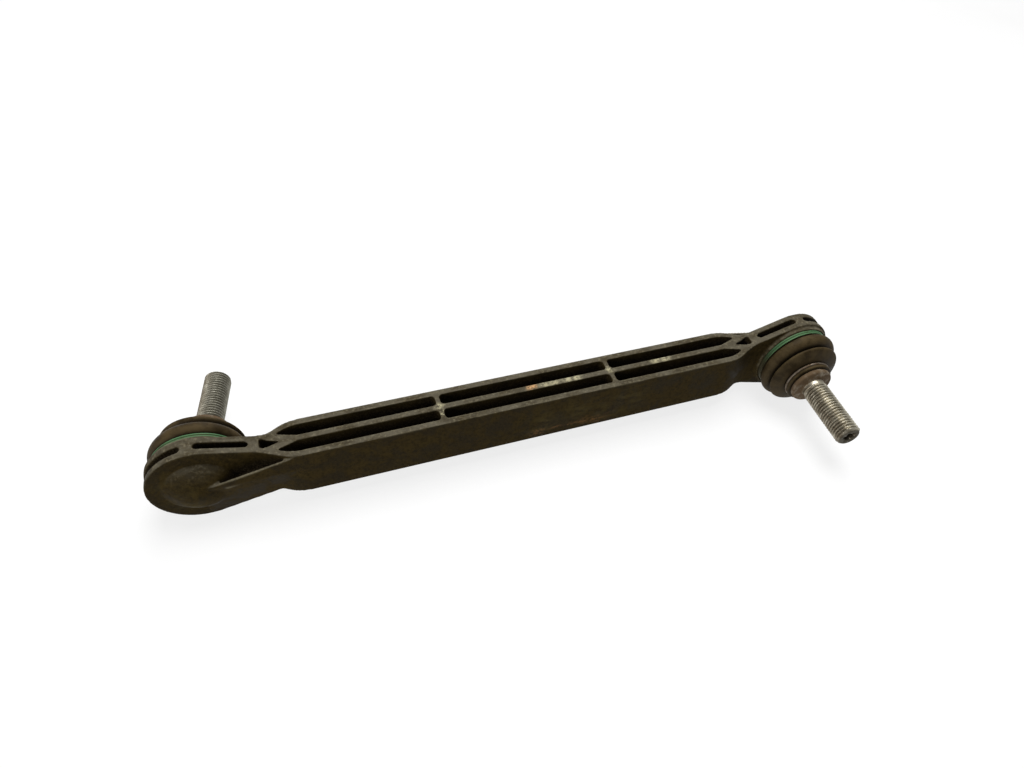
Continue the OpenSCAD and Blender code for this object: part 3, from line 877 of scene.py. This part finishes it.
def thread_radius(h, angle):
    """Radius of the stud's shank at height h, with a right-hand thread that fades in."""
    phase = (h / THREAD_PITCH - angle / TURN) % 1.0
    from_crest = abs(phase - 0.5) * 2
    shape = min(1.0, max(0.0, (from_crest - THREAD_CREST) / THREAD_FLANKS))
    cut_in = min(1.0, max(0.0, (h - THREAD_START) / THREAD_RUN_IN))
    crest = PLAIN_R + (SHANK_R - PLAIN_R) * cut_in
    return crest - THREAD_DEPTH * shape * cut_in


def lobe_radius(angle):
    """Outline of the six-lobed socket."""
    step = TURN / LOBES
    off = (angle + step / 2) % step - step / 2
    reach = SOCKET_R * math.sin(off)
    if abs(reach) >= LOBE_R:
        return SOCKET_R
    return max(SOCKET_R, SOCKET_R * math.cos(off) + math.sqrt(LOBE_R ** 2 - reach ** 2))


def collar_rings(angles):
    """Rings from the ball's flat over the lip's seat and the collar to the plain shank."""
    profile = [
        (BALL_FLAT, NECK_R),
        (NECK_END, NECK_R),
        (LIP_SEAT_START, LIP_SEAT_R),
        (COLLAR_BACK, LIP_SEAT_R),
        (COLLAR_BACK, COLLAR_R - COLLAR_BACK_EDGE),
        (COLLAR_BACK + COLLAR_BACK_EASE, COLLAR_R - COLLAR_BACK_EASE),
        (COLLAR_BACK + COLLAR_BACK_EDGE, COLLAR_R),
        (COLLAR_FACE - COLLAR_FRONT_EDGE, COLLAR_R),
        (COLLAR_FACE - COLLAR_FRONT_EASE_H, COLLAR_R - COLLAR_FRONT_EASE_R),
        (COLLAR_FACE, COLLAR_R - COLLAR_FRONT_EDGE),
        (COLLAR_FACE, PLAIN_R + SHANK_FILLET),
        (COLLAR_FACE + SHANK_FILLET_EASE, PLAIN_R + SHANK_FILLET_EASE),
        (COLLAR_FACE + SHANK_FILLET, PLAIN_R),
    ]
    return [(h, [r] * len(angles)) for h, r in profile]


def thread_rings(angles):
    """Rings of the threaded shank, cut back by the chamfer at the tip."""
    rings = []
    pitch_step = THREAD_PITCH / THREAD_STEPS
    count = int((STUD_REACH - THREAD_START) / pitch_step)
    for index in range(count + 1):
        h = THREAD_START + index * pitch_step
        limit = SHANK_R - max(0.0, h - (STUD_REACH - TIP_CHAMFER))
        rings.append((h, [min(limit, thread_radius(h, angle)) for angle in angles]))
    return rings


def tip_rings(angles):
    """Rings of the tip's face and of the socket down to its point."""
    face = SHANK_R - TIP_CHAMFER - TIP_EASE
    outline = [lobe_radius(angle) for angle in angles]
    bottom = STUD_REACH - SOCKET_DEPTH
    return [
        (STUD_REACH, [face] * len(angles)),
        (STUD_REACH, [r + SOCKET_EDGE for r in outline]),
        (STUD_REACH - SOCKET_EDGE, outline),
        (bottom, outline),
        (bottom - SOCKET_POINT, [r * SOCKET_POINT_SHARE for r in outline]),
    ]


def threaded_stud(end):
    """The stud from the ball to the tip, with its thread and its socket."""
    angles = around(STUD_SIDES)
    rings = collar_rings(angles) + thread_rings(angles) + tip_rings(angles)
    vertices = []
    for h, radii in rings:
        for angle, r in zip(angles, radii):
            vertices.append(end.stud_matrix @ on_circle(r, angle, h))
    faces = ring_faces(len(rings), STUD_SIDES, closed=False) + end_caps(len(rings), STUD_SIDES)
    return piece_from(f"{end.side}_threaded_stud", vertices, faces, sharp_angle=STUD_SHARP_ANGLE)


# The pieces, with the moulding, the rings and the studs on their bodies

RUBBER_MATERIAL = rubber_material()
GREEN_MATERIAL = green_material()
SEAT_MATERIAL = seat_material()
BALL_MATERIAL = ball_material()
WIRE_MATERIAL = wire_material()

body = moulded_body()
paint(body, moulding_material())
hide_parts("link_body")
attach(body, "link")

for end in ENDS:
    ring = closing_ring(end)
    paint(ring, GREEN_MATERIAL)
    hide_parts(f"closing_ring_{end.side}")
    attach(ring, "link")

    lower = boot_piece(end, "boot_lower", lower_fold_section())
    upper = boot_piece(end, "boot_upper", upper_fold_section())
    for piece in (lower, upper):
        paint(piece, RUBBER_MATERIAL)
        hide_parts(f"boot_{end.side}")
    end.body("boot")
    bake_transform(lower)
    end.body("boot")
    end.body("neck")
    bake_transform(upper)

    stud = threaded_stud(end)
    paint(stud, stud_material(end))
    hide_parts(f"stud_{end.side}")
    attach(stud, end.body("stud"))

    paint(frame["nodes"][f"ball_{end.side}"], BALL_MATERIAL)
    paint(frame["nodes"][f"ball_seat_{end.side}"], SEAT_MATERIAL)
    paint(frame["nodes"][f"neck_ring_{end.side}"], WIRE_MATERIAL)


# Camera, floor and light


def camera_matrix():
    """Looks from CAMERA_AT at CAMERA_AIM, rolled by CAMERA_ROLL degrees."""
    forward = (CAMERA_AIM - CAMERA_AT).normalized()
    level_right = forward.cross(UP).normalized()
    level_up = level_right.cross(forward)
    roll = math.radians(CAMERA_ROLL)
    right = level_right * math.cos(roll) + level_up * math.sin(roll)
    up = level_up * math.cos(roll) - level_right * math.sin(roll)
    turned_axes = Matrix((right, up, -forward)).transposed().to_4x4()
    return Matrix.Translation(CAMERA_AT) @ turned_axes


def photo_camera():
    """The camera that sees the part as the photograph does."""
    data = bpy.data.cameras.new("photo_camera")
    data.sensor_fit = "HORIZONTAL"
    data.sensor_width = CAMERA_SENSOR
    data.lens = CAMERA_LENS
    data.clip_start = CAMERA_CLIP
    camera = bpy.data.objects.new("photo_camera", data)
    camera.matrix_world = camera_matrix()
    bpy.context.scene.collection.objects.link(camera)
    bpy.context.scene.camera = camera


def studio_floor():
    """A wide pale floor that the part lies on."""
    corners = [(-1, -1), (1, -1), (1, 1), (-1, 1)]
    vertices = [(x * FLOOR_HALF, y * FLOOR_HALF, FLOOR_Z) for x, y in corners]
    floor = piece_from("studio_floor", vertices, [(0, 1, 2, 3)])
    paint(floor, floor_material())


def disk_light(name, at, aim, size, power):
    """A round soft light at a place, turned to its aim."""
    light = bpy.data.lights.new(name, "AREA")
    light.shape = "DISK"
    light.size = size
    light.energy = power
    lamp = bpy.data.objects.new(name, light)
    lamp.location = at
    lamp.rotation_euler = (Vector(aim) - Vector(at)).to_track_quat("-Z", "Y").to_euler()
    bpy.context.scene.collection.objects.link(lamp)


def studio_sky():
    """Even white light from all around."""
    world = bpy.data.worlds.new("studio")
    world.use_nodes = True
    background = world.node_tree.nodes["Background"]
    background.inputs["Color"].default_value = WHITE
    background.inputs["Strength"].default_value = SKY_STRENGTH
    bpy.context.scene.world = world
    bpy.context.scene.view_settings.view_transform = "Standard"


photo_camera()
studio_floor()
for name, settings in LIGHTS.items():
    disk_light(name, **settings)
studio_sky()
